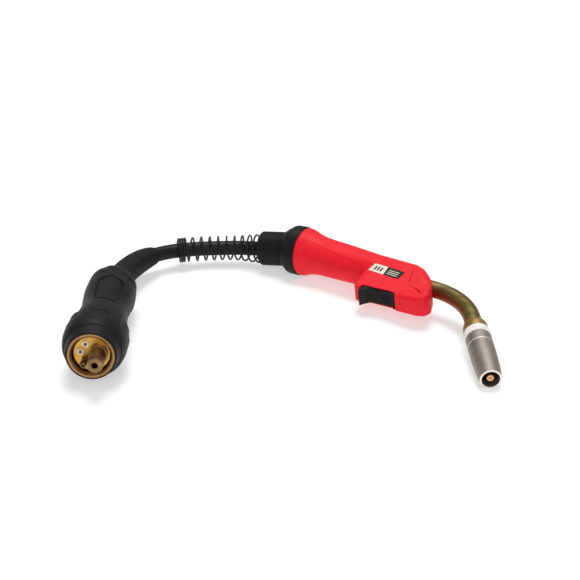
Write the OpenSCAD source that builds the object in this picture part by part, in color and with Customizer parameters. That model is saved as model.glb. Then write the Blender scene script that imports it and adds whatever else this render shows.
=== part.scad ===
// MIG welding torch with a central plug, lying on its side on a table.
// Units are millimetres, +Z is up and the table is at z = 0.

/* [Handle] */
// Height of the handle's axis above the table
axis_height = 26.25; // [24:0.1:28]
// Roll of the handle and neck about the handle's axis, so that the nozzle rests on the table
roll = 9.95; // [0:0.05:20]
// Wall of the handle shells
wall = 2.5; // [2:0.1:4]
// Radius of the rear collar
collar_r = 25.4; // [24:0.1:27]

/* [Neck and nozzle] */
// Radius of the swan neck tube
neck_r = 8; // [6:0.1:10]
// Bend radius of the swan neck
neck_bend_r = 70; // [50:1:100]
// Bend angle of the swan neck
neck_angle = 48.5; // [0:0.5:60]
// Bore radius at the mouth of the gas nozzle
nozzle_bore_r = 8; // [6:0.1:10]
// Bore radius of the contact tip for a 1.2 mm wire
wire_bore_r = 0.7; // [0.4:0.05:1.2]

/* [Plug] */
// Minor radius of the hand nut's M36 x 2 thread
thread_r = 16.9; // [16.5:0.1:18]
// Radius of the main current pin
main_pin_r = 6.9; // [6:0.1:8]
// Radius of the cable
cable_r = 7.5; // [6:0.1:10]

/* [Trigger] */
// Half the width of the trigger
trigger_half = 8.6; // [8:0.1:9]

/* [Hidden] */
offset_xyz = [-115.9, 39.5, 0];     // puts the middle of the torch head over the origin
neck_start = 160;                   // where the neck's bend begins
arc_end = [neck_start + neck_bend_r * sin(neck_angle), -neck_bend_r * (1 - cos(neck_angle)), 0];
tip_run = 96.2;                     // straight length from the bend to the nozzle's mouth
rear_tilt = 7;                      // the handle's rear end turns by this angle
rear_y = -3.7;                      // and sits this far towards the trigger side
ball_back = 11;                     // ball centre behind the handle shells
ball_r = 21;
barrel_yaw = 15.5;
barrel_pitch = 7.5;
barrel_len = 37;
plug_front = [11.6, -307.9, 30.6];  // centre of the hand nut's front rim
plug_yaw = -50;
plug_pitch = 2.5;
pin_at = [5.9, 0.8];                // main pin, off the plug's centre
nipple_at = [-5.7, -5];
signal_at = [[-4.8, 9.1], [-9.5, 2.1]];
trigger_pivot = [131.4, -27.4];

// Centre line of the cable from the ball barrel to the plug
ROUTE = [[-46.3, -14.8, 19.8], [-56, -18.3, 18.9], [-66, -23.2, 18.3], [-75.5, -29.5, 18], [-84, -36.5, 17.8],
    [-92.3, -44.3, 17.8], [-100, -52.7, 18], [-107.1, -61.6, 18.2], [-113.2, -71.2, 18.5], [-118.1, -81.4, 18.9],
    [-121.3, -92.4, 19.3], [-122.8, -103.7, 19.6], [-122.2, -115, 20], [-120.1, -126.2, 20.3], [-116.8, -137.1, 20.6],
    [-112.6, -147.7, 21], [-107.6, -158, 21.5], [-102.1, -167.9, 22], [-96, -177.6, 22.6], [-89.6, -186.6, 23.3],
    [-83.4, -194.6, 23.9], [-71.9, -208.4, 24.7], [-49.4, -235.2, 26.3], [-30.8, -257.4, 27.5]];
cable_sides = 12;

module head() translate(offset_xyz) translate([0, 0, axis_height]) rotate([roll, 0, 0]) children();
module ahead() rotate([0, 90, 0]) children();                 // local +Z runs forward
module on_axis(x) head() translate([x, 0, 0]) ahead() children();
module at_nozzle() head() translate(arc_end) rotate([0, 0, -neck_angle]) translate([tip_run, 0, 0]) ahead() children();
module at_rear() head() translate([0, rear_y, 0]) rotate([0, 0, rear_tilt]) ahead() children();
module at_ball() at_rear() translate([0, 0, -ball_back]) children();
ball_head = [-ball_back * cos(rear_tilt), rear_y - ball_back * sin(rear_tilt), 0];
ball_xyz = [ball_head[0], ball_head[1] * cos(roll), axis_height + ball_head[1] * sin(roll)];
module at_barrel() translate(offset_xyz) translate(ball_xyz) rotate([0, -barrel_pitch, barrel_yaw]) ahead() children();
module at_plug() translate(offset_xyz) translate(plug_front) rotate([0, -plug_pitch, plug_yaw])
    rotate([90, 0, 90]) children();                           // local +Y up, +Z out of the front

// ---- sweeps: rings of points, joined into one closed skin
function ring_faces(m, n) = [for (i = [0:m - 2], j = [0:n - 1], k = [0, 1])
    let (a = i * n + j, b = i * n + (j + 1) % n, c = a + n, d = b + n) k == 0 ? [a, b, d] : [a, d, c]];
module skin(rings) {
    n = len(rings[0]);
    m = len(rings);
    polyhedron([for (r = rings, p = r) p],
        concat([[for (j = [n - 1:-1:0]) j]], ring_faces(m, n), [[for (j = [0:n - 1]) (m - 1) * n + j]]));
}
function unit(v) = v / norm(v);
function direction(pts, i) = unit(pts[min(i + 1, len(pts) - 1)] - pts[max(i - 1, 0)]);
function side_of(d) = unit(cross(d, [0, 0, 1]));
function around(c, d, r, a) = c + r * (cos(a) * side_of(d) + sin(a) * cross(side_of(d), d));
function tube_ring(c, d, r, n) = [for (j = [0:n - 1]) around(c, d, r, 360 * j / n)];
function run_to(i) = i == 0 ? 0 : run_to(i - 1) + norm(ROUTE[i] - ROUTE[i - 1]);
RUN = [for (i = [0:len(ROUTE) - 1]) run_to(i)];
function route_at(s) = [for (k = [0:2]) lookup(s, [for (i = [0:len(ROUTE) - 1]) [RUN[i], ROUTE[i][k]]])];
function smooth_at(s) = (route_at(s - 5) + 2 * route_at(s) + route_at(s + 5)) / 4;

// ---- handle: oval rings; each row is x, half width, half height, centre y, turn of the ring
GRIP = [[0, 24.8, 24.8, -3.7, 7], [5, 24.3, 24.5, -3.3, 6.4], [11, 21.6, 22.6, -2.8, 5.5], [18, 19.6, 21.4, -2.5, 4.6],
    [30, 18.5, 20.6, -2.1, 3.2], [47, 18, 20.2, -1.5, 1.4], [64, 17.4, 19.4, -1.1, 0], [82, 17, 18.9, -1, 0],
    [96, 16.6, 18.2, -1, 0], [108, 12, 13, -1, 0]];
function grip_ring(g, in) = [for (j = [0:35])
    let (a = -10 * j, u = (g[2] - in) * cos(a), v = (g[1] - in) * sin(a))
    [g[0] - u * sin(g[4]), g[3] + u * cos(g[4]), v]];
MOUTH = [-2.5, 25.3, 25.3, -4.1, 7];      // the hollow runs out past the shells here, for the collar's spigot
module grip(in) skin([for (g = in > 0 ? concat([MOUTH], GRIP) : GRIP) grip_ring(g, in)]);
module slab(half, pts) translate([0, 0, -half]) linear_extrude(2 * half) polygon(pts);
module front_block() hull() {
    slab(8.6, [[85, 0], [88, -22], [90.5, -40], [93, -42.5], [97, -42.5], [140, -37.5], [150, -37.5], [160, -36.4],
        [166.5, -33], [168.5, -26], [163, -14], [153.5, 0], [142.5, 9], [135.5, 14], [128, 17], [86, 14.8]]);
    slab(13, [[87, 11], [89.5, -22], [150, -22], [156.5, -20], [159, -14], [155, -4], [146, 4], [138, 9.5], [128, 12.3]]);
    slab(16.2, [[88.5, 3.5], [89, -7], [141, -7], [148, -6], [146, -1], [139, 3], [126, 6]]);
}
module block_space() hull() {
    slab(6.2, [[90, 0], [94, -33], [136, -33], [150, -33.5], [158, -32.5], [164, -26], [158.5, -12], [147, 2],
        [133, 11.5], [126, 13.5], [90, 12]]);
    slab(10.5, [[91, 0], [93, -20], [148, -20], [153, -17], [146, -3], [128, 9], [92, 8]]);
    slab(13.4, [[93, 2], [93, -6.5], [139, -6.5], [143, -5], [126, 2.5]]);
}
module handle_space() {
    grip(wall);
    block_space();
}
module handle_solid() {
    difference() {
        union() {
            grip(0);
            front_block();
        }
        difference() {
            handle_space();
            // ribs around the neck and the cable core, and the screw bosses
            bosses();
            for (x = [72, 140]) translate([x, -13, -30]) cube([4, 40, 60]);
            translate([46, -40, -30]) cube([3, 80, 60]);
        }
        translate([40, 0, 0]) ahead() cylinder(h = 40, r = 5, $fn = 48);
        translate([80, 0, 0]) ahead() cylinder(h = 100, r = neck_r, $fn = 64);
        trigger_slot();
        // pocket for the power joint
        translate([78, 0, 0]) ahead() cylinder(h = 30, r = 11, $fn = 48);
        // seat of the trigger pin
        translate([trigger_pivot[0], trigger_pivot[1], -11]) cylinder(h = 22, r = 1.5, $fn = 32);
        screw_holes();
    }
}
module trigger_slot() {
    slab(trigger_half + 0.4, [[98.6, -24], [98, -38], [98, -60], [136.2, -60], [136.2, -26], [132, -22]]);
    // the side walls end above the finger face
    slab(20, [[100.5, -38.6], [100.5, -60], [131.5, -60], [131.5, -35.4]]);
}
SCREWS = [[28, 13], [28, -14], [126, 11], [148, -28.6]];
function boss_z(i) = [11.9, 14.2, 12.7, 10.3][i];
module screw_holes() for (i = [0:3]) translate([SCREWS[i][0], SCREWS[i][1], -30]) {
    cylinder(h = 36, r = 1.25, $fn = 24);
}
module bosses() for (s = SCREWS) translate([s[0], s[1], -20]) cylinder(h = 40, r = 3.4, $fn = 32);

module handle_shell_top() color([0.86, 0.07, 0.09]) head() difference() {
    intersection() {
        handle_solid();
        translate([-20, -80, 0]) cube([220, 160, 60]);
    }
    label_pocket();
}
module handle_shell_bottom() color([0.86, 0.07, 0.09]) head() difference() {
    intersection() {
        handle_solid();
        translate([-20, -80, -60]) cube([220, 160, 60]);
    }
    for (i = [0:3]) translate([SCREWS[i][0], SCREWS[i][1], -40]) cylinder(h = 40 - boss_z(i) + 2.2, r = 2.7, $fn = 32);
}
// the label lies on the block's sloping side face
LABEL = [[92.6, -12.2], [126.9, -12.2], [129, -1.4], [94.2, -1.4]];
face_tilt = 12.1;
module on_face() translate([0, -7, 16.2]) rotate([face_tilt, 0, 0]) children();
module label_pocket() on_face() translate([0, 0, -0.6]) linear_extrude(4) polygon(LABEL);
module label_plate() color([0.93, 0.90, 0.82]) head() on_face() translate([0, 0, -0.6]) linear_extrude(0.7) polygon(LABEL);
module handle_screws() color([0.2, 0.2, 0.22]) head() for (i = [0:3]) translate([SCREWS[i][0], SCREWS[i][1], -boss_z(i) + 0.4])
    difference() {
        union() {
            cylinder(h = 1.8, r = 2.5, $fn = 32);
            cylinder(h = boss_z(i) + 3, r = 1.25, $fn = 24);
        }
        translate([0, 0, -1]) cylinder(h = 2, r = 1.2, $fn = 6);
    }

// ---- trigger and switch; the pivot is at the front end
TRIGGER = [[130, -23.5], [134, -24], [135.4, -27], [135.4, -32.8], [133, -34.2], [125, -36.2], [118, -36.9],
    [111.5, -38.2], [107, -40.8], [103.8, -44.4], [102, -47.3], [100.4, -47.6], [99.4, -44], [99.6, -27], [102, -25.5],
    [127, -25.5]];
module trigger() color([0.12, 0.12, 0.13]) head() {
    trigger_shell();
    // post that works the switch
    translate([110.4, -36.2, -2]) cube([3.2, 10.9, 4]);
}
module trigger_shell() difference() {
    union() {
        slab(trigger_half, TRIGGER);
        translate([trigger_pivot[0], trigger_pivot[1], -trigger_half]) cylinder(h = 2 * trigger_half, r = 3.6, $fn = 40);
    }
    translate([trigger_pivot[0], trigger_pivot[1], -12]) cylinder(h = 24, r = 1.55, $fn = 40);
    // hollow inside
    slab(trigger_half - 1.8, [[126, -20], [126, -33.5], [118, -34.4], [108, -36], [103, -40], [102, -40], [102, -20]]);
    // ribs for the finger
    for (x = [107:1.9:130]) translate([x, x < 112 ? -40.8 + (x - 107) * 0.55 : -38.2 + (x - 112) * 0.17, -6.6]) rotate([0, 0, 225])
        translate([-0.4, -0.4, 0]) cube([0.9, 0.9, 13.2]);
}
module trigger_pin() color([0.75, 0.75, 0.77]) head() translate([trigger_pivot[0], trigger_pivot[1], -10.9])
    cylinder(h = 21.8, r = 1.5, $fn = 40);
module switch_body() color([0.14, 0.14, 0.16]) head() difference() {
    translate([106, -23, -3.2]) cube([15, 11, 6.4]);
    translate([112, -17.8, 0]) rotate([90, 0, 0]) cylinder(h = 6, r = 1.25, $fn = 24);
}
module switch_plunger() color([0.85, 0.85, 0.82]) head() translate([112, -20, 0]) rotate([90, 0, 0])
    cylinder(h = 5, r = 1.2, $fn = 24);
function coil_pt(r, h, turns, i, n) = [r * cos(360 * turns * i / n), r * sin(360 * turns * i / n), h * i / n];
module wire(pts, r, n) skin([for (i = [0:len(pts) - 1]) tube_ring(pts[i], direction(pts, i), r, n)]);
module trigger_spring() color([0.7, 0.7, 0.72]) head() translate([118, -32.8, 0]) rotate([-90, 0, 0])
    wire([for (i = [0:72]) coil_pt(2.4, 9.3, 6, i, 72)], 0.35, 5);

// ---- power joint and cable core inside the handle
module power_joint() color([0.80, 0.62, 0.28]) on_axis(78.4) difference() {
    union() {
        cylinder(h = 27, r = 10.4, $fn = 6);
        translate([0, 0, 24]) cylinder(h = 8, r = 9.6, $fn = 48);
    }
    translate([0, 0, 12]) cylinder(h = 30, r = neck_r, $fn = 64);
    translate([0, 0, -1]) cylinder(h = 12, r = 5, $fn = 48);
    cylinder(h = 14, r = 2, $fn = 32);
}
module cable_core() color([0.72, 0.42, 0.26]) head()
    wire([[89.2, 0, 0], [60, 0, 0], [35, 0, 0], [20, -0.6, 0], [10, -1.6, 0], [2, -2.8, 0], [-3, -3.7, 0]], 4.95, 16);

// ---- swan neck
module neck_path(r, start, run) {
    translate([start, 0, 0]) ahead() cylinder(h = neck_start - start, r = r, $fn = 64);
    translate([neck_start, -neck_bend_r, 0]) rotate([0, 0, 90 - neck_angle])
        rotate_extrude(angle = neck_angle, $fn = 180) translate([neck_bend_r, 0]) circle(r = r, $fn = 64);
    translate(arc_end) rotate([0, 0, -neck_angle]) ahead() cylinder(h = run, r = r, $fn = 64);
}
module neck_outer_tube() color([0.62, 0.50, 0.26]) head() difference() {
    neck_path(neck_r, 90.4, 18);
    neck_path(6, 90, 19);
}
module neck_inner_tube() color([0.80, 0.62, 0.28]) head() difference() {
    neck_path(6, 90.4, 20);
    neck_path(1.6, 90, 21);
}

// ---- nozzle end; z runs back from the nozzle's mouth as negative values
module turned(pts, n) rotate_extrude($fn = n) polygon(pts);
module neck_end_collar() color([0.72, 0.56, 0.25]) at_nozzle() turned([[8, -82], [9.4, -82], [10.8, -80.8], [11.5, -78],
    [11.5, -69.4], [6, -69.4], [6, -76.2], [8, -76.2]], 72);
module insulator_ring() color([0.94, 0.94, 0.92]) at_nozzle() turned([[6, -69.4], [12, -69.4], [12, -60.3],
    [10.4, -60.3], [10.4, -44], [8.6, -44], [8.6, -64], [6, -64]], 72);
module tip_holder() color([0.78, 0.60, 0.30]) at_nozzle() difference() {
    turned([[0, -76.2], [6, -76.2], [6, -64], [8.6, -64], [8.6, -46], [6.5, -43], [6.5, -27], [5.2, -25], [5.2, -22],
        [0, -22]], 64);
    translate([0, 0, -36]) cylinder(h = 15, r = 3, $fn = 48);
    translate([0, 0, -77]) cylinder(h = 60, r = 1.6, $fn = 32);
    for (a = [0:60:300]) rotate([0, 0, a]) translate([0, 0, -40]) rotate([0, 90, 0]) cylinder(h = 9, r = 1.1, $fn = 20);
}
module contact_tip() color([0.85, 0.45, 0.28]) at_nozzle() difference() {
    turned([[0, -34], [3, -34], [3, -22], [4, -22], [4, -7], [3.1, -2], [0, -2]], 48);
    translate([0, 0, -35]) cylinder(h = 34, r = wire_bore_r, $fn = 32);
}
module gas_nozzle() color([0.62, 0.58, 0.53]) at_nozzle() turned([[nozzle_bore_r, 0], [9.5, 0], [9.8, -0.4], [10.3, -5],
    [11, -13], [11.5, -24], [11.8, -36], [11.8, -47.4], [11.6, -47.7], [11.6, -48.3], [11.8, -48.6], [11.8, -59.5],
    [11.5, -60], [10.45, -60], [10.45, -30], [9.6, -22], [nozzle_bore_r, -12]], 96);

// ---- rear collar and ball
module rear_collar() color([0.13, 0.13, 0.14]) at_rear() difference() {
    union() {
        translate([0, 0, -11.6]) cylinder(h = 11.6, r1 = collar_r - 0.2, r2 = collar_r, $fn = 96);
        translate([0, 0, -18.8]) cylinder(h = 7.2, r1 = 20.6, r2 = collar_r - 0.2, $fn = 96);
        cylinder(h = 3.8, r = 21.5, $fn = 96);
    }
    translate([0, 0, -ball_back]) sphere(r = ball_r + 0.06, $fn = 96);
    translate([0, 0, -20]) cylinder(h = 10, r = 19.4, $fn = 96);
        cylinder(h = 20, r = 17, $fn = 96);
}
module ball_barrel() color([0.12, 0.12, 0.13]) at_barrel() difference() {
    union() {
        intersection() {
            sphere(r = ball_r, $fn = 96);
            translate([0, 0, -9.6]) cylinder(h = 21, r = 30);
        }
        translate([0, 0, -barrel_len]) cylinder(h = barrel_len - 14, r = 17.7, $fn = 96);
        // waist inside the collar's mouth
        translate([0, 0, -15]) cylinder(h = 8, r = 17, $fn = 96);
    }
    translate([0, 0, -8]) cylinder(h = 30, r1 = 12, r2 = 18, $fn = 72);
    translate([0, 0, -40]) cylinder(h = 60, r = cable_r + 0.2, $fn = 64);
    translate([0, 0, -barrel_len - 1]) cylinder(h = 19, r = 16, $fn = 72);
    for (z = [-35.4:1.7:-15]) translate([0, 0, z]) difference() {
        cylinder(h = 0.6, r = 19, $fn = 96);
        translate([0, 0, -1]) cylinder(h = 3, r = 17.35, $fn = 96);
    }
}

// ---- cable, kink spring and boot
function cable_pts() = concat([ball_back_pt(-4), ball_back_pt(12), ball_back_pt(25)], ROUTE);
function ball_back_pt(d) = ball_xyz - d * [cos(barrel_pitch) * cos(barrel_yaw), cos(barrel_pitch) * sin(barrel_yaw),
    sin(barrel_pitch)];
module cable() color([0.11, 0.11, 0.12]) translate(offset_xyz) wire(cable_pts(), cable_r, cable_sides);
// one helix: closed coils at the free end, then open coils that widen into the barrel
function coil_r(s) = 12 + 2.2 * min(1, max(0, (s - 60) / 24));
SPRING = [for (i = [0:300]) let (t = i / 300 * 14.8, u = max(0, t - 3.5), s = min(t, 3.5) * 2.3 + 9.4 * u - 0.1 * u * u)
    [s, t - 0.12]];
spring_far = 91;
module kink_spring() color([0.10, 0.10, 0.11]) translate(offset_xyz) wire([for (q = SPRING)
    let (s = spring_far - q[0], c = s > 0 ? smooth_at(s) : ROUTE[0] + (ROUTE[0] - ROUTE[1]) / norm(ROUTE[0] - ROUTE[1]) * (-s),
        d = s > 4 ? unit(smooth_at(0.75 * s + 3) - smooth_at(0.75 * s - 3)) : unit(ROUTE[1] - ROUTE[0]))
    around(c, d, coil_r(q[0]), 360 * q[1])], 1, 6);
BOOT_R = [9.2, 11.2, 12.2, 12.5, 12.6, 12.7, 12.75, 12.8, 12.8, 12.85, 12.9];
boot_first = 10;
module rubber_boot() color([0.12, 0.12, 0.13]) translate(offset_xyz) difference() {
    skin([for (i = [0:len(BOOT_R) - 1]) tube_ring(i == 0 ? 0.45 * ROUTE[boot_first] + 0.55 * ROUTE[boot_first + 1] :
        ROUTE[boot_first + i], direction(ROUTE, boot_first + i), BOOT_R[i], 24)]);
    wire(ROUTE, cable_r + 0.05, cable_sides);
}

// ---- plug; z is negative going back from the hand nut's front rim
module plug_housing() color([0.13, 0.13, 0.14]) at_plug() difference() {
    turned([[0, -141], [23.2, -141], [24, -138.6], [24.2, -128], [23.2, -112], [22, -98], [21.8, -86], [22.8, -74],
        [25, -58], [26.2, -48], [26.2, -44.6], [18.4, -44.6], [18.4, -34.4], [0, -34.4]], 96);
    translate([0, 0, -132]) cylinder(h = 72, r = 17.5, $fn = 72);
    translate([0, 0, -64]) cylinder(h = 40, r = 14, $fn = 72);
    translate([0, 0, -145]) cylinder(h = 25, r = 14, $fn = 72);
    // flat recesses for the fingers
    for (a = [80, 200, 320]) rotate([0, 0, a]) translate([25.1, 0, -100]) cube([8, 22, 48], center = true);
    for (a = PLUG_SCREWS) rotate([0, 0, a]) translate([20, 0, -128]) rotate([0, 90, 0]) cylinder(h = 6, r = 1.5, $fn = 24);
}
PLUG_SCREWS = [20, 140, 260];
module plug_screws() color([0.2, 0.2, 0.22]) at_plug() for (a = PLUG_SCREWS) rotate([0, 0, a]) translate([0, 0, -128])
    rotate([0, 90, 0]) translate([0, 0, 20]) difference() {
        cylinder(h = 3.8, r = 1.5, $fn = 24);
        translate([0, 0, 3]) cylinder(h = 2, r = 0.8, $fn = 6);
    }
module plug_rear_cap() color([0.13, 0.13, 0.14]) at_plug() difference() {
    turned([[0, -161], [20.4, -161], [22, -159.8], [23.2, -155], [23.7, -147], [23.7, -142.6], [23, -141], [0, -141]], 96);
    translate([0, 0, -165]) cylinder(h = 30, r = 13.7, $fn = 72);
}
module hand_nut() color([0.13, 0.13, 0.14]) at_plug() difference() {
    turned([[0, 0], [21.4, 0], [22, -0.7], [24.3, -11.6], [25.6, -12.4], [27.3, -17], [28.3, -24], [28.6, -34],
        [28.6, -42], [28, -44.2], [0, -44.2]], 96);
    translate([0, 0, -16]) cylinder(h = 20, r = 20.25, $fn = 96);
    translate([0, 0, -26]) cylinder(h = 20, r = 18.6, $fn = 96);
    translate([0, 0, -45]) cylinder(h = 40, r = 15.56, $fn = 96);
    translate([0, 0, -45]) cylinder(h = 15.3, r = 18.9, $fn = 96);
    // shallow finger scallops at the back
    for (a = [0:30:330]) rotate([0, 0, a]) translate([29.5, 0, -45]) cylinder(h = 16, r = 1.5, $fn = 24);
}
module thread_insert() color([0.80, 0.58, 0.25]) at_plug() turned([[18.3, 0], [20.25, 0], [20.25, -16], [thread_r, -16],
    [thread_r, -1.4]], 96);
module plug_body() color([0.83, 0.62, 0.22]) at_plug() difference() {
    union() {
        translate([0, 0, -34]) cylinder(h = 28.4, r = 15.5, $fn = 96);
        translate([0, 0, -34.4]) cylinder(h = 4.4, r = 18.4, $fn = 96);
        translate([0, 0, -64]) cylinder(h = 34, r = 14, $fn = 72);
        translate([0, 0, -92]) cylinder(h = 40, r = 11, $fn = 60);
    }
    translate([0, 0, -93]) cylinder(h = 30, r = cable_r + 0.1, $fn = 60);
    for (p = concat([pin_at], [nipple_at])) translate([p[0], p[1], -20]) cylinder(h = 30, r = p == pin_at ? 5 : 1.8, $fn = 48);
    for (p = signal_at) translate([p[0], p[1], -18]) cylinder(h = 30, r = 2.9, $fn = 40);
}
module main_pin() color([0.60, 0.42, 0.24]) at_plug() translate([pin_at[0], pin_at[1], 0]) difference() {
    turned([[0, -20], [5, -20], [5, -5.6], [8.2, -5.6], [8.2, -1.2], [7.6, -0.6], [main_pin_r, -0.6], [main_pin_r, 19.8],
        [6.2, 20.6], [0, 20.6]], 64);
    translate([0, 0, -21]) cylinder(h = 50, r = 2.8, $fn = 48);
}
module gas_nipple() color([0.55, 0.38, 0.20]) at_plug() translate([nipple_at[0], nipple_at[1], 0]) difference() {
    turned([[0, -20], [1.8, -20], [1.8, -5.6], [3.1, -5.6], [3.1, -3.4], [2.4, -3.4], [2.4, 3], [1.9, 3], [1.9, 4.6],
        [2.4, 4.6], [2.4, 8.4], [2.1, 8.8], [0, 8.8]], 48);
    translate([0, 0, -21]) cylinder(h = 40, r = 1, $fn = 32);
}
module gas_nipple_o_ring() color([0.08, 0.08, 0.08]) at_plug() translate([nipple_at[0], nipple_at[1], 3.8])
    rotate_extrude($fn = 48) translate([2.55, 0]) circle(r = 0.65, $fn = 20);
module signal_bushes() color([0.86, 0.86, 0.85]) at_plug() for (p = signal_at) translate([p[0], p[1], 0])
    turned([[1.6, -18], [2.9, -18], [2.9, -4.6], [1.6, -4.6]], 40);
module signal_pins() color([0.72, 0.66, 0.55]) at_plug() for (p = signal_at) translate([p[0], p[1], 0]) difference() {
    translate([0, 0, -18]) cylinder(h = 14.2, r = 1.6, $fn = 32);
    translate([0, 0, -8]) cylinder(h = 8, r = 0.8, $fn = 24);
}

contact_tip();
gas_nozzle();
tip_holder();
insulator_ring();
neck_end_collar();
neck_outer_tube();
neck_inner_tube();
handle_shell_top();
handle_shell_bottom();
label_plate();
handle_screws();
trigger();
trigger_pin();
trigger_spring();
switch_body();
switch_plunger();
power_joint();
cable_core();
rear_collar();
ball_barrel();
kink_spring();
cable();
rubber_boot();
plug_housing();
plug_rear_cap();
plug_screws();
hand_nut();
thread_insert();
plug_body();
main_pin();
gas_nipple();
gas_nipple_o_ring();
signal_pins();
signal_bushes();
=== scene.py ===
"""A MIG welding torch lying on its side: red handle, swan neck and nozzle, black cable and central plug."""
import math

import bmesh
import bpy
from mathutils import Matrix, Vector


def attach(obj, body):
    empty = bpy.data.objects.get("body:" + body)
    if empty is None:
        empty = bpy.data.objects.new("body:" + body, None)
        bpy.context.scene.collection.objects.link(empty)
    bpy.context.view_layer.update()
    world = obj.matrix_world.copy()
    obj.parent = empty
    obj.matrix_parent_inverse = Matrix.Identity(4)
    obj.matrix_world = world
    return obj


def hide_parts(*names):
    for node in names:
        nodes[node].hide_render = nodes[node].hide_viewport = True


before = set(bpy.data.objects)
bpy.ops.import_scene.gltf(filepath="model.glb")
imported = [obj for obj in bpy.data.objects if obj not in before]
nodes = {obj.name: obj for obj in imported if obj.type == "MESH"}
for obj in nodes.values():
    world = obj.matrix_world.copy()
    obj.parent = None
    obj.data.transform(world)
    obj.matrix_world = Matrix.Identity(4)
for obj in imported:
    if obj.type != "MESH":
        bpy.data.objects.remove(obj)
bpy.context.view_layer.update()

MM = 0.001
OFFSET = Vector((-115.9, 39.5, 0.0))  # mm, as in the CAD: the row frame's origin is under the torch head

# ---- places in the row frame, in millimetres
AXIS_HEIGHT = 26.25
ROLL = 9.95
NECK_START = 160.0
NECK_BEND_R = 70.0
NECK_ANGLE = 48.5
TIP_RUN = 96.2
REAR_TILT = 7.0
REAR_Y = -3.7
BALL_BACK = 11.0
BARREL_YAW = 15.5
BARREL_PITCH = 7.5
PLUG_FRONT = Vector((11.6, -307.9, 30.6))
PLUG_YAW = -50.0
PLUG_PITCH = 2.5

# The cable's route, repeated from the CAD
ROUTE = [Vector(p) for p in (
    (-46.3, -14.8, 19.8), (-56, -18.3, 18.9), (-66, -23.2, 18.3), (-75.5, -29.5, 18),
    (-84, -36.5, 17.8), (-92.3, -44.3, 17.8), (-100, -52.7, 18), (-107.1, -61.6, 18.2),
    (-113.2, -71.2, 18.5), (-118.1, -81.4, 18.9), (-121.3, -92.4, 19.3), (-122.8, -103.7, 19.6),
    (-122.2, -115, 20), (-120.1, -126.2, 20.3), (-116.8, -137.1, 20.6), (-112.6, -147.7, 21),
    (-107.6, -158, 21.5), (-102.1, -167.9, 22), (-96, -177.6, 22.6), (-89.6, -186.6, 23.3),
    (-83.4, -194.6, 23.9), (-71.9, -208.4, 24.7), (-49.4, -235.2, 26.3))]
CABLE_R = 7.5


def turn(axis, degrees):
    return Matrix.Rotation(math.radians(degrees), 4, axis)


def shift(x, y=0.0, z=0.0):
    return Matrix.Translation((x, y, z) if not isinstance(x, Vector) else x)


FORWARD = turn("Y", 90)  # local +Z runs forward
HEAD = shift(OFFSET) @ shift(0, 0, AXIS_HEIGHT) @ turn("X", ROLL)
ARC_END = Vector((NECK_START + NECK_BEND_R * math.sin(math.radians(NECK_ANGLE)),
                  -NECK_BEND_R * (1 - math.cos(math.radians(NECK_ANGLE))), 0))
HEAD_METRES = Matrix.Scale(MM, 4) @ HEAD
NOZZLE = HEAD @ shift(ARC_END) @ turn("Z", -NECK_ANGLE) @ shift(TIP_RUN) @ FORWARD
REAR = HEAD @ shift(0, REAR_Y, 0) @ turn("Z", REAR_TILT) @ FORWARD
BALL = (REAR @ shift(0, 0, -BALL_BACK)).translation
BARREL = shift(BALL) @ turn("Z", BARREL_YAW) @ turn("Y", -BARREL_PITCH) @ FORWARD
PLUG_AXES = turn("Z", PLUG_YAW) @ turn("Y", -PLUG_PITCH) @ turn("Z", 90) @ turn("X", 90)
PLUG = shift(OFFSET) @ shift(PLUG_FRONT) @ PLUG_AXES


# ---- camera
def make_camera():
    data = bpy.data.cameras.new("camera")
    data.sensor_width = 36.0
    data.lens = 77.6
    data.clip_end = 20.0
    cam = bpy.data.objects.new("camera", data)
    bpy.context.collection.objects.link(cam)
    cam.location = (Vector((739.7, -928.5, 520.2)) + OFFSET) * MM
    cam.rotation_euler = Vector((-0.5778, 0.7036, -0.4137)).to_track_quat("-Z", "Y").to_euler()
    bpy.context.scene.camera = cam


make_camera()


# ---- mesh helpers; all shapes are made in millimetres in a local place, then put in the row frame in metres
def add_object(name, verts, faces, place, material, smooth=35.0):
    mesh = bpy.data.meshes.new(name)
    matrix = Matrix.Scale(MM, 4) @ place
    mesh.from_pydata([tuple(matrix @ Vector(v)) for v in verts], [], faces)
    mesh.validate()
    mesh.materials.append(material)
    bm = bmesh.new()
    bm.from_mesh(mesh)
    bmesh.ops.recalc_face_normals(bm, faces=bm.faces)
    bm.to_mesh(mesh)
    bm.free()
    shade(mesh, smooth)
    obj = bpy.data.objects.new(name, mesh)
    bpy.context.collection.objects.link(obj)
    return obj


def shade(mesh, angle):
    mesh.polygons.foreach_set("use_smooth", [True] * len(mesh.polygons))
    mesh.set_sharp_from_angle(angle=math.radians(angle))
    mesh.update()


def rounded(points, radius, steps=3, closed=True):
    """The outline with each corner replaced by a short curve."""
    out = []
    n = len(points)
    for i, p in enumerate(points):
        p = Vector(p)
        if not closed and i in (0, n - 1):
            out.append(tuple(p))
            continue
        before = Vector(points[i - 1]) - p
        after = Vector(points[(i + 1) % n]) - p
        cut = min(radius, 0.45 * before.length, 0.45 * after.length)
        a = p + before.normalized() * cut
        b = p + after.normalized() * cut
        for k in range(steps + 1):
            t = k / steps
            out.append(tuple(a * (1 - t) ** 2 + p * (2 * t * (1 - t)) + b * t ** 2))
    return out


def bridge(rings, loop=False):
    """Faces that join rings of equal length, with flat ends unless the rings form a loop."""
    n = len(rings[0])
    verts = [v for ring in rings for v in ring]
    faces = []
    count = len(rings) if loop else len(rings) - 1
    for i in range(count):
        a, b = i * n, ((i + 1) % len(rings)) * n
        faces += [(a + j, a + (j + 1) % n, b + (j + 1) % n, b + j) for j in range(n)]
    if not loop:
        faces.append(tuple(reversed(range(n))))
        faces.append(tuple(range((len(rings) - 1) * n, len(rings) * n)))
    return verts, faces


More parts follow.
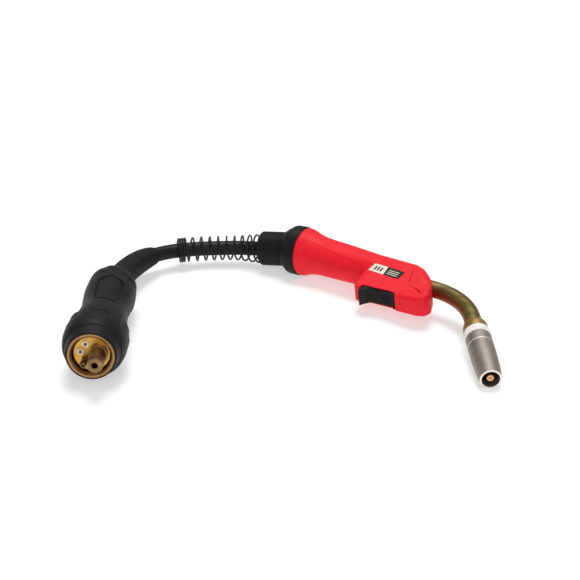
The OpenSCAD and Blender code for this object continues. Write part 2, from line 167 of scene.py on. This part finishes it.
def lathe(name, outline, place, material, sides=128, radial=None, smooth=35.0):
    """A closed outline of (radius, z) turned about local Z. radial(r, z, angle) may change the radius."""
    rings = []
    for r, z in outline:
        ring = []
        for j in range(sides):
            a = 2 * math.pi * j / sides
            q = radial(r, z, a) if radial else r
            ring.append((q * math.cos(a), q * math.sin(a), z))
        rings.append(ring)
    verts, faces = bridge(rings, loop=True)
    return add_object(name, verts, faces, place, material, smooth)


def modified(source, name, material, *steps, smooth=40.0):
    """A new object from a copy of source's mesh with the given modifiers applied."""
    work = bpy.data.objects.new(name, source.data.copy())
    bpy.context.collection.objects.link(work)
    for kind, settings in steps:
        mod = work.modifiers.new(kind.lower(), kind)
        for key, value in settings.items():
            setattr(mod, key, value)
    graph = bpy.context.evaluated_depsgraph_get()
    mesh = bpy.data.meshes.new_from_object(work.evaluated_get(graph))
    work.modifiers.clear()
    work.data = mesh
    mesh.materials.clear()
    mesh.materials.append(material)
    mesh.polygons.foreach_set("material_index", [0] * len(mesh.polygons))
    shade(mesh, smooth)
    return work


def catmull(points, per_span):
    out = []
    last = len(points) - 1
    for i in range(last):
        p0 = points[max(i - 1, 0)]
        p1, p2 = points[i], points[i + 1]
        p3 = points[min(i + 2, last)]
        for k in range(per_span):
            t = k / per_span
            out.append(0.5 * (2 * p1 + (p2 - p0) * t + (2 * p0 - 5 * p1 + 4 * p2 - p3) * t * t
                              + (3 * p1 - p0 - 3 * p2 + p3) * t ** 3))
    out.append(points[-1].copy())
    return out


def frame_at(points, i):
    """Side and up vectors across the path at point i."""
    d = (points[min(i + 1, len(points) - 1)] - points[max(i - 1, 0)]).normalized()
    side = d.cross(Vector((0, 0, 1))).normalized()
    return side, side.cross(d)


def sweep(name, points, radius, sides, place, material, smooth=40.0):
    """A tube along points; radius(i, angle) or a number."""
    rings = []
    for i, p in enumerate(points):
        side, up = frame_at(points, i)
        ring = []
        for j in range(sides):
            a = 2 * math.pi * j / sides
            r = radius(i, a) if callable(radius) else radius
            ring.append(tuple(p + side * (r * math.cos(a)) + up * (r * math.sin(a))))
        rings.append(ring)
    verts, faces = bridge(rings)
    return add_object(name, verts, faces, place, material, smooth)


# ---- material helpers
class Look:
    """A procedural material on one Principled shader."""

    def __init__(self, name, colour, roughness, metallic=0.0, **extra):
        self.material = bpy.data.materials.new(name)
        self.material.use_nodes = True
        self.tree = self.material.node_tree
        self.shader = self.tree.nodes["Principled BSDF"]
        self.set("Base Color", (*colour, 1.0))
        self.set("Roughness", roughness)
        self.set("Metallic", metallic)
        for key, value in extra.items():
            self.set(key.replace("_", " "), value)
        self.height = None

    def set(self, socket, value):
        self.shader.inputs[socket].default_value = value

    def node(self, kind, **settings):
        n = self.tree.nodes.new(kind)
        for key, value in settings.items():
            setattr(n, key, value)
        return n

    def link(self, a, b):
        self.tree.links.new(a, b)

    def coords(self, place=None, stretch=(1, 1, 1)):
        """Object coordinates in metres, turned into a local place and stretched."""
        tex = self.node("ShaderNodeTexCoord")
        out = tex.outputs["Object"]
        if place is not None:
            back = place.to_3x3().inverted().to_4x4()
            local = self.node("ShaderNodeMapping")
            local.inputs["Rotation"].default_value = back.to_euler()
            local.inputs["Location"].default_value = -(back @ (place.translation * MM))
            self.link(out, local.inputs["Vector"])
            out = local.outputs["Vector"]
        scale = self.node("ShaderNodeMapping")
        scale.inputs["Scale"].default_value = stretch
        self.link(out, scale.inputs["Vector"])
        return scale.outputs["Vector"]

    def noise(self, scale, detail=3.0, roughness=0.55, vector=None):
        n = self.node("ShaderNodeTexNoise")
        n.inputs["Scale"].default_value = scale
        n.inputs["Detail"].default_value = detail
        n.inputs["Roughness"].default_value = roughness
        self.link(vector or self.coords(), n.inputs["Vector"])
        return n.outputs["Fac"]

    def ramp(self, factor, *stops):
        r = self.node("ShaderNodeValToRGB")
        band = r.color_ramp
        while len(band.elements) < len(stops):
            band.elements.new(0.5)
        for element, (place, colour) in zip(band.elements, stops):
            element.position = place
            element.color = (*colour, 1.0) if isinstance(colour, tuple) else (colour, colour, colour, 1.0)
        self.link(factor, r.inputs["Fac"])
        return r.outputs["Color"]

    def mix(self, factor, a, b):
        m = self.node("ShaderNodeMix", data_type="RGBA")
        self.link(factor, m.inputs[0])
        for value, socket in ((a, m.inputs[6]), (b, m.inputs[7])):
            if isinstance(value, tuple):
                socket.default_value = (*value, 1.0)
            else:
                self.link(value, socket)
        return m.outputs[2]

    def colour(self, output):
        self.link(output, self.shader.inputs["Base Color"])

    def rough(self, factor, low, high):
        spread = self.node("ShaderNodeMapRange")
        spread.inputs["To Min"].default_value = low
        spread.inputs["To Max"].default_value = high
        self.link(factor, spread.inputs["Value"])
        self.link(spread.outputs["Result"], self.shader.inputs["Roughness"])

    def bump(self, height, distance_mm, strength=1.0):
        b = self.node("ShaderNodeBump")
        b.inputs["Distance"].default_value = distance_mm * MM
        b.inputs["Strength"].default_value = strength
        self.link(height, b.inputs["Height"])
        if self.height is not None:
            self.link(self.height, b.inputs["Normal"])
        self.height = b.outputs["Normal"]
        self.link(self.height, self.shader.inputs["Normal"])


def red_plastic():
    m = Look("red_plastic", (0.82, 0.010, 0.024), 0.5, Specular_IOR_Level=0.19)
    flow = m.ramp(m.noise(28, 4), (0.35, (0.80, 0.007, 0.018)), (0.65, (0.90, 0.014, 0.030)))
    scuffs = m.ramp(m.noise(420, 6, 0.7, m.coords(HEAD, (0.25, 1, 1))), (0.66, 0.0), (0.78, 1.0))
    m.colour(m.mix(scuffs, flow, (0.90, 0.045, 0.060)))
    m.rough(m.noise(160, 5), 0.44, 0.60)
    m.bump(m.noise(2600, 2), 0.02, 0.55)
    return m.material


def black_plastic(name="black_plastic", base=0.0062, low=0.45, high=0.66, grain=0.03):
    m = Look(name, (base, base, base * 1.08), 0.55, Specular_IOR_Level=0.2)
    dusty = (base * 1.7, base * 1.5, base * 1.6)
    dust = m.ramp(m.noise(90, 6, 0.65), (0.45, (base, base * 0.93, base)), (0.75, dusty))
    m.colour(dust)
    m.rough(m.noise(240, 4), low, high)
    m.bump(m.noise(2200, 3), grain, 0.7)
    return m.material


def rubber():
    m = Look("black_rubber", (0.008, 0.008, 0.009), 0.7, Specular_IOR_Level=0.22)
    m.colour(m.ramp(m.noise(60, 6, 0.7), (0.4, (0.006, 0.006, 0.007)), (0.8, (0.016, 0.015, 0.016))))
    m.rough(m.noise(180, 4), 0.58, 0.82)
    m.bump(m.noise(1500, 4), 0.04, 0.6)
    return m.material


def cable_skin():
    m = Look("cable_skin", (0.006, 0.006, 0.007), 0.5, Specular_IOR_Level=0.22)
    m.colour(m.ramp(m.noise(70, 5, 0.6), (0.4, (0.005, 0.005, 0.006)), (0.75, (0.012, 0.011, 0.012))))
    m.rough(m.noise(140, 4), 0.40, 0.58)
    m.bump(m.noise(900, 4), 0.05, 0.5)
    return m.material


def coated_wire():
    m = Look("coated_wire", (0.010, 0.010, 0.011), 0.4, Specular_IOR_Level=0.35)
    m.rough(m.noise(300, 3), 0.28, 0.46)
    m.bump(m.noise(700, 3), 0.03, 0.5)
    m.colour(m.ramp(m.noise(500, 5, 0.7), (0.55, (0.009, 0.009, 0.010)), (0.85, (0.030, 0.028, 0.028))))
    return m.material


def turned_metal(name, place, light, dark, low, high, ring=0.6, stain=None, highlight_bands=None):
    """Metal with the fine rings that a lathe leaves around local Z."""
    m = Look(name, light, low, 1.0)
    around = m.coords(place, (0.02, 0.02, 1.0))
    rings = m.noise(2400, 4, 0.7, around)
    patches = m.noise(130, 5, 0.6)
    base = m.ramp(patches, (0.35, dark), (0.65, light))
    if stain:
        base = m.mix(m.ramp(m.noise(55, 6, 0.7), (0.50, 0.0), (0.68, 1.0)), base, stain)
    for low_z, high_z in highlight_bands or ():
        # a painted highlight band between two distances along the axis
        along = m.node("ShaderNodeSeparateXYZ")
        m.link(m.coords(place), along.inputs["Vector"])
        span = m.node("ShaderNodeMapRange")
        span.inputs["From Min"].default_value = low_z * MM
        span.inputs["From Max"].default_value = high_z * MM
        m.link(along.outputs["Z"], span.inputs["Value"])
        base = m.mix(m.ramp(span.outputs["Result"], (0.0, 0.0), (0.2, 1.0), (0.8, 1.0), (1.0, 0.0)), base,
                     (0.90, 0.84, 0.76))
    m.colour(base)
    m.rough(m.noise(300, 4, 0.6, m.coords(place, (0.3, 0.3, 1.0))), low, high)
    m.bump(rings, 0.02 * ring, 0.6)
    return m.material


def neck_patina():
    m = Look("neck_patina", (0.24, 0.18, 0.07), 0.45, 1.0)
    along = m.coords(HEAD, (0.35, 1.0, 1.0))
    base = m.ramp(m.noise(75, 6, 0.62, along), (0.30, (0.09, 0.060, 0.024)), (0.46, (0.19, 0.142, 0.050)),
                  (0.60, (0.27, 0.205, 0.072)), (0.75, (0.14, 0.120, 0.055)))
    # the low side of the tube is mixed towards copper-red, in uneven patches
    across = m.node("ShaderNodeSeparateXYZ")
    m.link(m.coords(HEAD), across.inputs["Vector"])
    low = m.node("ShaderNodeMapRange")
    for key, value in (("From Min", 0.0055), ("From Max", -0.0015)):
        low.inputs[key].default_value = value
    m.link(across.outputs["Z"], low.inputs["Value"])
    uneven = m.node("ShaderNodeMath", operation="MULTIPLY")
    m.link(low.outputs["Result"], uneven.inputs[0])
    low_side_patches = m.noise(40, 5, 0.6, m.coords(HEAD, (0.5, 1.0, 1.0)))
    m.link(m.ramp(low_side_patches, (0.35, 0.25), (0.62, 1.0)), uneven.inputs[1])
    m.colour(m.mix(uneven.outputs["Value"], base, (0.30, 0.105, 0.045)))
    m.rough(m.noise(200, 5, 0.6, along), 0.38, 0.60)
    m.bump(m.noise(600, 5, 0.65, m.coords(HEAD, (0.1, 1.0, 1.0))), 0.03, 0.6)
    return m.material


def insulator_white():
    m = Look("insulator_white", (0.86, 0.85, 0.82), 0.5)
    m.colour(m.ramp(m.noise(260, 6, 0.7), (0.40, (0.87, 0.86, 0.84)), (0.80, (0.66, 0.62, 0.56))))
    m.rough(m.noise(300, 4), 0.42, 0.62)
    m.bump(m.noise(1800, 3), 0.03, 0.6)
    return m.material


def steel():
    m = Look("bright_steel", (0.62, 0.62, 0.64), 0.3, 1.0)
    m.rough(m.noise(500, 5), 0.22, 0.42)
    m.colour(m.ramp(m.noise(300, 5), (0.4, (0.50, 0.50, 0.52)), (0.7, (0.70, 0.70, 0.71))))
    m.bump(m.noise(2500, 3), 0.01, 0.5)
    return m.material


def print_layer(name, colour):
    m = Look(name, colour, 0.5, Specular_IOR_Level=0.22)
    worn = tuple(c * 0.85 + 0.006 for c in colour)
    m.colour(m.ramp(m.noise(700, 6, 0.7), (0.45, colour), (0.80, worn)))
    m.rough(m.noise(350, 4), 0.45, 0.62)
    m.bump(m.noise(1800, 3), 0.01, 0.4)
    return m.material


RED = red_plastic()
BLACK = black_plastic()
GRIP_BLACK = black_plastic("trigger_black", 0.008, 0.40, 0.58, 0.02)
RUBBER = rubber()
SKIN = cable_skin()
WIRE = coated_wire()
PATINA = neck_patina()
WHITE = insulator_white()
STEEL = steel()
# painted highlight bands on the nozzle, at the mouth's rim and at the ring groove
NOZZLE_HIGHLIGHTS = ((-0.5, 2.0), (-48.7, -47.4))  # the mouth's rim and the ring groove, mm along the axis
NOZZLE_METAL = turned_metal("nozzle_metal", NOZZLE, (0.37, 0.328, 0.288), (0.31, 0.275, 0.24), 0.52, 0.66,
                            0.8, (0.29, 0.235, 0.20), NOZZLE_HIGHLIGHTS)
TIP_COPPER = turned_metal("tip_copper", NOZZLE, (0.86, 0.42, 0.26), (0.62, 0.28, 0.16), 0.22, 0.40)
HOLDER_BRASS = turned_metal("holder_brass", NOZZLE, (0.75, 0.55, 0.26), (0.50, 0.34, 0.14), 0.28, 0.45)
COLLAR_BRASS = turned_metal("collar_brass", NOZZLE, (0.46, 0.31, 0.11), (0.30, 0.19, 0.06), 0.38, 0.58, 0.8,
                            (0.28, 0.12, 0.055))
FACE_BRASS = turned_metal("face_brass", PLUG, (0.66, 0.37, 0.085), (0.50, 0.265, 0.055), 0.26, 0.42)
RING_BRASS = turned_metal("ring_brass", PLUG, (0.43, 0.235, 0.10), (0.30, 0.155, 0.065), 0.30, 0.46)
PIN_BRONZE = turned_metal("pin_bronze", PLUG, (0.36, 0.225, 0.105), (0.20, 0.115, 0.052), 0.26, 0.46, 1.0)
DARK_BRONZE = turned_metal("dark_bronze", PLUG, (0.22, 0.14, 0.07), (0.10, 0.06, 0.03), 0.35, 0.5)
SILVER = turned_metal("silver_bush", PLUG, (0.62, 0.60, 0.55), (0.46, 0.44, 0.40), 0.2, 0.36)
CREAM = print_layer("label_cream", (0.80, 0.77, 0.62))
INK = print_layer("label_ink", (0.008, 0.008, 0.010))


# ---- CAD nodes that keep their shape
def finish_node(name, material, angle=32.0):
    obj = nodes[name]
    obj.data.materials.clear()
    obj.data.materials.append(material)
    shade(obj.data, angle)


for part, look in (("contact_tip", TIP_COPPER), ("gas_nozzle", NOZZLE_METAL), ("tip_holder", HOLDER_BRASS),
                   ("insulator_ring", WHITE), ("neck_end_collar", COLLAR_BRASS), ("neck_outer_tube", PATINA),
                   ("neck_inner_tube", HOLDER_BRASS), ("handle_screws", STEEL), ("trigger_pin", STEEL),
                   ("trigger_spring", STEEL), ("switch_body", BLACK), ("switch_plunger", WHITE),
                   ("power_joint", HOLDER_BRASS), ("cable_core", TIP_COPPER), ("plug_screws", STEEL),
                   ("thread_insert", RING_BRASS), ("plug_body", FACE_BRASS), ("main_pin", PIN_BRONZE),
                   ("gas_nipple", DARK_BRONZE), ("gas_nipple_o_ring", RUBBER), ("signal_pins", PIN_BRONZE),
                   ("signal_bushes", SILVER)):
    finish_node(part, look)


# ---- cable, from the barrel's inside to the plug's rear
def make_cable():
    axis = BARREL.to_3x3() @ Vector((0, 0, -1))
    lead_in = [BALL - OFFSET + axis * d for d in (19.0, 28.0)]
    path = catmull(lead_in + ROUTE, 4)
    cable = sweep("cable_jacket", path, CABLE_R, 40, shift(OFFSET), SKIN)
    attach(cable, "cable_side")
    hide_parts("cable")
    return cable, path


def make_spring():
    """One helix on the cable: closed coils at the free end, then open coils that widen into the barrel."""
    fine = catmull(ROUTE, 12)
    runs = [0.0]
    for a, b in zip(fine, fine[1:]):
        runs.append(runs[-1] + (b - a).length)

    def at(s):
        if s <= 0:
            return fine[0] + (fine[0] - fine[1]).normalized() * (-s)
        i = next(k for k, r in enumerate(runs) if r >= s)
        t = (s - runs[i - 1]) / (runs[i] - runs[i - 1])
        return fine[i - 1].lerp(fine[i], t)

    far, closed, turns, steps = 91.0, 3.5, 14.8, 620
    centre = []
    for i in range(steps + 1):
        t = i / steps * turns
        u = max(0.0, t - closed)
        s = min(t, closed) * 2.3 + 9.4 * u - 0.1 * u * u
        wide = min(1.0, max(0.0, (s - 60) / 24))
        here = far - s
        # the stiff coils lean less than the cable bends
        lean = 0.75 * here if here > 4 else here
        d = (at(lean + 3) - at(lean - 3)).normalized()
        side = d.cross(Vector((0, 0, 1))).normalized()
        a = 2 * math.pi * (t - 0.12)
        centre.append(at(here) + (side * math.cos(a) + side.cross(d) * math.sin(a)) * (12 + 2.2 * wide))
    spring = sweep("kink_spring_wire", centre, 1.0, 14, shift(OFFSET), WIRE)
    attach(spring, "cable_side")
    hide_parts("kink_spring")
    return spring


def make_boot():
    """A tapered sleeve with flat panels and long ribs between them."""
    path = catmull(ROUTE[10:21], 8)[5:]
    n = len(path)
    turns = [2 * math.pi * j / 96 for j in range(96)]

    def outer(i, a):
        t = i / (n - 1)
        base = 8.6 + 4.2 * (1 - math.exp(-t / 0.11))
        flat = 0.955 * base / max(0.72, math.cos((a + math.pi / 6) % (math.pi / 3) - math.pi / 6))
        body = 0.35 * base + 0.65 * min(base, flat)
        lip = 0.3 * math.exp(-((t - 0.03) / 0.03) ** 2)
        step = 0.5 if t > 0.62 else 0.0
        return body + lip + step - 0.25

    def ring(i, radius):
        side, up = frame_at(path, i)
        return [tuple(path[i] + (side * math.cos(a) + up * math.sin(a)) * radius(i, a)) for a in turns]

    sleeve = [ring(i, outer) for i in range(n)]
    bore = [ring(i, lambda i, a: 7.62) for i in range(n - 1, -1, -1)]
    verts, faces = bridge(sleeve + bore, loop=True)
    boot = add_object("boot_sleeve", verts, faces, shift(OFFSET), RUBBER, 30)
    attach(boot, "cable_side")
    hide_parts("rubber_boot")
    return boot


cable, cable_path = make_cable()
spring = make_spring()
boot = make_boot()


# ---- plug
def cut(obj, *cutters, mode="DIFFERENCE", solver="MANIFOLD"):
    """Cuts closed cutter objects out of obj, or joins them to it, and removes them."""
    for cutter in cutters:
        mod = obj.modifiers.new("cut", "BOOLEAN")
        mod.operation = mode
        mod.solver = solver
        mod.object = cutter
    graph = bpy.context.evaluated_depsgraph_get()
    mesh = bpy.data.meshes.new_from_object(obj.evaluated_get(graph))
    obj.modifiers.clear()
    obj.data = mesh
    for cutter in cutters:
        bpy.data.objects.remove(cutter, do_unlink=True)
    return obj


def prism(name, outline, place, low, high, material):
    """A straight prism of an (x, y) outline between two heights."""
    rings = [[(x, y, z) for x, y in outline] for z in (low, high)]
    verts, faces = bridge(rings)
    return add_object(name, verts, faces, place, material)


PANEL_TURNS = (80, 200, 320)
HOUSING = [(23.0, -140.8), (23.9, -138.6), (24.1, -128), (23.2, -112), (22, -98), (21.8, -86), (22.8, -74),
           (24.6, -58), (25.2, -50), (25.2, -44.6)]


def make_housing():
    outline = rounded(HOUSING + [(17.6, -44.6), (17.6, -131.8), (14.1, -131.8), (14.1, -140.8)], 1.2, 4)
    housing = lathe("plug_housing_shell", outline, PLUG, BLACK, 144)
    cutters = []
    for degrees in PANEL_TURNS:
        # local x runs back along the plug, local y across the panel, local z outwards
        out = PLUG @ turn("Z", degrees) @ turn("Y", 90)
        pentagon = rounded([(121, -12.0), (129.5, 0.0), (121, 12.0), (79, 11.0), (79, -11.0)], 2.4, 4)
        slot = [(76.9, -9.5), (76.9, 9.5), (74.9, 9.5), (74.9, -9.5)]
        for name, shape, depth in (("panel_cut", pentagon, 0.75), ("slot_cut", slot, 1.6)):
            core = [(r - depth, z) for r, z in HOUSING[1:-1]]
            core = lathe("core", core + [(2, HOUSING[-2][1]), (2, HOUSING[1][1])], PLUG, BLACK, 144)
            cutters.append(cut(prism(name, shape, out, 12.0, 30.0, BLACK), core))
    cut(housing, *cutters)
    shade(housing.data, 28)
    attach(housing, "cable_side")
    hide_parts("plug_housing")
    return housing


def make_rear_cap():
    outline = rounded([(13.8, -160.9), (20.3, -160.9), (21.9, -159.7), (23.1, -155), (23.6, -147),
                       (23.6, -142.8), (22.9, -141.3), (13.8, -141.3)], 0.8, 3)

    def flats(r, z, a):
        if r < 14:
            return r
        away = abs((math.degrees(a) + 70) % 120 - 60)
        return r - 0.8 * math.exp(-(away / 9) ** 2) * (1 if z < -144 else 0)

    cap = lathe("plug_rear_cap_shell", outline, PLUG, BLACK, 180, flats)
    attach(cap, "cable_side")
    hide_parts("plug_rear_cap")
    return cap


def make_nut():
    outline = rounded([(20.3, -0.05), (21.4, -0.05), (22, -0.7), (24.2, -11.6), (25.5, -12.4), (27.3, -17),
                       (28.3, -24), (28.55, -34), (28.55, -43.4), (28.1, -44.1), (18.9, -44.1), (18.9, -30),
                       (20.3, -29)], 0.45, 4)

    def facets(r, z, a):
        if z > -13 or r < 25:
            return r
        away = abs((math.degrees(a) + 15) % 30 - 15) / 15
        depth = min(1.0, max(0.0, (-z - 15) / 26))
        scallop = 0.9 * depth * max(0.0, 1 - (away / 0.62) ** 2) if z < -27 else 0.0
        return r - scallop * 0.8

    nut = lathe("hand_nut_grip", outline, PLUG, BLACK, 240, facets)
    for degrees in PANEL_TURNS:
        across = [(35.3, -8.5), (36.1, 0), (35.3, 8.5), (34.0, 8.5), (34.8, 0), (34.0, -8.5)]
        cut(nut, prism("nut_slot", across, PLUG @ turn("Z", degrees) @ turn("Y", 90), 26.6, 32, BLACK))
    shade(nut.data, 30)
    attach(nut, "nut")
    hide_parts("hand_nut")
    return nut


housing = make_housing()
rear_cap = make_rear_cap()
nut = make_nut()


# ---- rear collar and ball barrel
def make_collar():
    outline = rounded([(21.3, 3.6), (21.3, 0.0), (24.2, 0.0), (24.4, -1.2), (25.3, -1.6), (25.1, -10.9),
                       (24.7, -12.3), (20.9, -18.2), (20.3, -18.7), (19.6, -18.7), (19.6, -12), (21.1, -9),
                       (21.1, -6), (18.0, 3.6)], 0.4, 3)

    def facets(r, z, a):
        if r < 20.6 or z > -11.5:
            return r
        # flats that deepen towards the back leave shallow triangles on the flare
        return min(r, (20.1 + (z + 18.2) * 0.8) / math.cos((a + math.pi / 8) % (math.pi / 4) - math.pi / 8))

    collar = lathe("rear_collar_ring", outline, REAR, BLACK, 216, facets, smooth=30)
    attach(collar, "handle")
    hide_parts("rear_collar")


def make_barrel():
    """Turned ball and barrel, with fine ridges around the barrel."""
    outline = [(16.0, -36.9)] + rounded([(17.2, -36.9), (17.7, -36.2)], 0.2, 2, closed=False)
    z = -35.6
    while z < -15.2:
        outline += [(17.62, z), (17.66, z + 0.35), (17.62, z + 0.9), (17.28, z + 1.15), (17.28, z + 1.45)]
        z += 1.7
    ball_r = 20.95
    turns = [math.radians(d) for d in range(-26, 30, 4)]
    ball = [(ball_r * math.cos(a), ball_r * math.sin(a)) for a in turns]
    outline += [(17.0, -14), (17.0, -10.4)] + ball + [(15.0, 11.0), (8.0, 4.0), (7.9, -18.0), (16.0, -19.0)]
    barrel = lathe("ball_barrel_body", outline, BARREL, BLACK, 120, smooth=50)
    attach(barrel, "cable_side")
    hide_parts("ball_barrel")


make_collar()
make_barrel()


# ---- handle: the CAD shells with softened edges, then fine grooves
def groove(name, points, width, depth):
    """A narrow wall that follows (x, y, z) points on the handle's skin and reaches depth below it."""
    rings = []
    for i, p in enumerate(points):
        p = Vector(p)
        along = (Vector(points[min(i + 1, len(points) - 1)]) - Vector(points[max(i - 1, 0)])).normalized()
        out = Vector((0, p.y + 1, p.z)) if p.x < 85 else Vector((0.1, -0.3, 0.95))
        out = (out - along * out.dot(along)).normalized()
        side = along.cross(out) * (width / 2)
        rings.append([tuple(p + side - out * depth), tuple(p + side + out * 1.6), tuple(p - side + out * 1.6),
                      tuple(p - side - out * depth)])
    verts, faces = bridge(rings)
    return add_object(name, verts, faces, HEAD, RED)


# corners of the panel line on the sloping face, from the far side to the nose
PANEL_LINE = [(134, 0.5, 16), (141, -22.5, 13), (150, -23, 12.5), (155, -24.5, 12), (158.5, -27, 11)]


def grip_crease():
    """A line along the grip that sinks from the top towards the side; the grip's rings are ovals."""
    points = []
    for x in (17, 27, 37, 47, 57, 67, 77):
        f = (x - 17) / 60
        a = math.radians(110 + 21 * f)
        points.append((x, -2.5 + 1.5 * f + (21.4 - 2.3 * f) * math.cos(a), (19.6 - 2.5 * f) * math.sin(a)))
    return points


def nose_swell():
    """A convex layer that rounds the nose's wall between its foot and the edge of the sloping face."""
    foot = [(140, -37.3), (150, -37.3), (160, -36.2), (166.3, -32.9), (168.2, -26), (162.8, -14),
            (153.4, -0.2), (142.5, 8.7)]
    top = [(141, -35.8, 10.6), (150, -35.8, 10.8), (158.6, -34.4, 11.2), (164.3, -31.2, 11.9),
           (165.8, -25.6, 12.9), (160.8, -14.2, 13.9), (152, -1.2, 14.2), (142, 6.4, 14.4)]
    foot_height = 8.5
    points = [(x, y, z) for z in (-foot_height, foot_height) for x, y in foot] + top
    mesh = bpy.data.meshes.new("nose_swell")
    bm = bmesh.new()
    for q in points:
        bm.verts.new(HEAD_METRES @ Vector(q))
    found = bmesh.ops.convex_hull(bm, input=bm.verts)
    inside = [v for v in found["geom_interior"] if isinstance(v, bmesh.types.BMVert)]
    bmesh.ops.delete(bm, geom=inside, context="VERTS")
    bm.to_mesh(mesh)
    bm.free()
    swell = bpy.data.objects.new("nose_swell", mesh)
    bpy.context.collection.objects.link(swell)
    return swell


def half_space(name, low, high):
    """A wide block in the head's frame between two heights."""
    return prism(name, [(-30, -80), (200, -80), (200, 60), (-30, 60)], HEAD, low, high, RED)


def on_skin(obj, points):
    """The nearest points of a piece's skin, in the head's own millimetres."""
    bpy.context.view_layer.update()
    back = HEAD_METRES.inverted()
    return [tuple(back @ obj.closest_point_on_mesh(HEAD_METRES @ Vector(p))[1]) for p in points]


def make_shells():
    """Both shells softened as one body, then parted along the joint line."""
    whole = modified(nodes["handle_shell_top"], "handle_whole", RED)
    lower = modified(nodes["handle_shell_bottom"], "handle_lower", RED)
    cut(whole, lower, mode="UNION", solver="EXACT")
    cut(whole, nose_swell(), mode="UNION", solver="EXACT")
    soft = modified(whole, "handle_bottom", RED, ("REMESH", {"mode": "VOXEL", "voxel_size": 0.6 * MM}),
                    ("SMOOTH", {"factor": 0.5, "iterations": 34}))
    bpy.data.objects.remove(whole, do_unlink=True)
    top = modified(soft, "handle_top", RED)
    bottom = soft
    crease = on_skin(top, grip_crease())
    line = on_skin(top, rounded(PANEL_LINE, 3, 3, closed=False))
    slot = on_skin(top, PANEL_LINE[2:])
    cut(top, half_space("below", -70, 0.06), groove("panel_line", line, 0.6, 0.9),
        groove("grip_crease", crease, 0.5, 0.5), groove("panel_slot", slot, 1.5, 2.4))
    cut(bottom, half_space("above", -0.06, 70))
    for obj, node in ((top, "handle_shell_top"), (bottom, "handle_shell_bottom")):
        shade(obj.data, 40)
        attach(obj, "handle")
        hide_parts(node)


def make_trigger():
    steps = (("REMESH", {"mode": "VOXEL", "voxel_size": 0.24 * MM, "adaptivity": 0.0}),
             ("SMOOTH", {"factor": 0.5, "iterations": 3}))
    trigger = modified(nodes["trigger"], "trigger_lever", GRIP_BLACK, *steps)
    # the sides draw in towards the finger face
    half = 8.6
    rear = 102
    face = [(133, -34.2), (125, -36.2), (118, -36.9), (111.5, -38.2), (107, -40.8), (103.8, -44.4),
            (rear, -47.3)]
    back = HEAD_METRES.inverted()
    normals = [v.normal.copy() for v in trigger.data.vertices]
    for v, normal in zip(trigger.data.vertices, normals):
        p = back @ v.co
        for (x1, y1), (x2, y2) in zip(face, face[1:]):
            if x2 <= p.x < x1:
                height = p.y - y1 - (y2 - y1) * (p.x - x1) / (x2 - x1)
                above = min(1.0, max(0.0, height / 2.4))
                skin = abs(p.z) > 7.4 or height < 0.8
                p.z *= (half - 2.0 + 2.0 * math.sqrt(1 - (1 - above) ** 2)) / half
                v.co = HEAD_METRES @ p
                if skin and 105.5 < p.x < 129.5 and height < 5.5:
                    # finger ribs run over the face and up the sides
                    rib = 0.5 + 0.5 * math.cos(2 * math.pi * (p.x - 107) / 1.9)
                    v.co -= normal * (0.45 * MM * rib * min(1.0, (5.5 - max(height, 0)) / 1.2))
                break
        else:
            if p.x < rear:
                # rear corners stay clear of the pocket when the trigger is pulled
                p.z *= 1 - 0.02 * (rear - p.x)
                v.co = HEAD_METRES @ p
    shade(trigger.data, 40)
    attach(trigger, "trigger")
    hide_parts("trigger")


def make_label():
    """Two-tone plate with plain bars, set into the sloping face."""
    face = HEAD @ shift(0, -7, 16.2) @ turn("X", 12.1)
    cream = [(92.7, -12.1), (110.3, -12.1), (109.3, -1.5), (94.2, -1.5)]
    black = [(110.3, -12.1), (126.8, -12.1), (128.8, -1.5), (109.3, -1.5)]
    pieces = [prism("label_cream_half", cream, face, -0.58, 0.06, CREAM),
              prism("label_black_half", black, face, -0.58, 0.06, INK)]
    for x in (97.4, 100.8, 104.2):
        bar = [(x - 0.4, -9.6), (x + 1.4, -9.6), (x + 1.7, -4.2), (x - 0.1, -4.2)]
        pieces.append(prism("label_bar", bar, face, 0.0, 0.09, INK))
    for y in (-4.4, -6.8, -9.2):
        bar = [(112.6, y - 0.8), (124.4, y - 0.8), (124.5, y), (112.6, y)]
        pieces.append(prism("label_line", bar, face, 0.0, 0.09, CREAM))
    for i, piece in enumerate(pieces):
        piece.name = f"label_part_{i}"
        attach(piece, "handle")
    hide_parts("label_plate")


make_shells()
make_trigger()
make_label()


# ---- floor and studio light
def make_stage():
    m = Look("floor_white", (0.535, 0.56, 0.56), 0.9, Emission_Strength=0.50)
    m.set("Emission Color", (1.0, 1.0, 1.0, 1.0))
    m.colour(m.ramp(m.noise(3, 2), (0.3, (0.535, 0.56, 0.56)), (0.7, (0.54, 0.565, 0.565))))
    mesh = bpy.data.meshes.new("floor")
    s = 40.0
    mesh.from_pydata([(-s, -s, 0), (s, -s, 0), (s, s, 0), (-s, s, 0)], [], [(0, 1, 2, 3)])
    mesh.materials.append(m.material)
    floor = bpy.data.objects.new("floor", mesh)
    bpy.context.collection.objects.link(floor)


def area_light(name, place, aim, size, watts):
    data = bpy.data.lights.new(name, "AREA")
    data.shape = "DISK"
    data.size = size
    data.energy = watts
    light = bpy.data.objects.new(name, data)
    bpy.context.collection.objects.link(light)
    light.location = place
    light.rotation_euler = (Vector(aim) - Vector(place)).to_track_quat("-Z", "Y").to_euler()


def make_light():
    world = bpy.data.worlds.new("studio")
    bpy.context.scene.world = world
    world.use_nodes = True
    background = world.node_tree.nodes["Background"]
    background.inputs["Color"].default_value = (1, 1, 1, 1)
    background.inputs["Strength"].default_value = 0.34
    data = bpy.data.lights.new("key", "SUN")
    data.energy = 2.1
    data.angle = math.radians(30)
    key = bpy.data.objects.new("key", data)
    bpy.context.collection.objects.link(key)
    key.rotation_euler = Vector((0.24, -0.36, -1.5)).to_track_quat("-Z", "Y").to_euler()
    area_light("fill", (0.9, -1.1, 0.9), (0.0, -0.08, 0.02), 1.2, 7.5)
    bpy.context.scene.view_settings.view_transform = "Standard"


make_stage()
make_light()
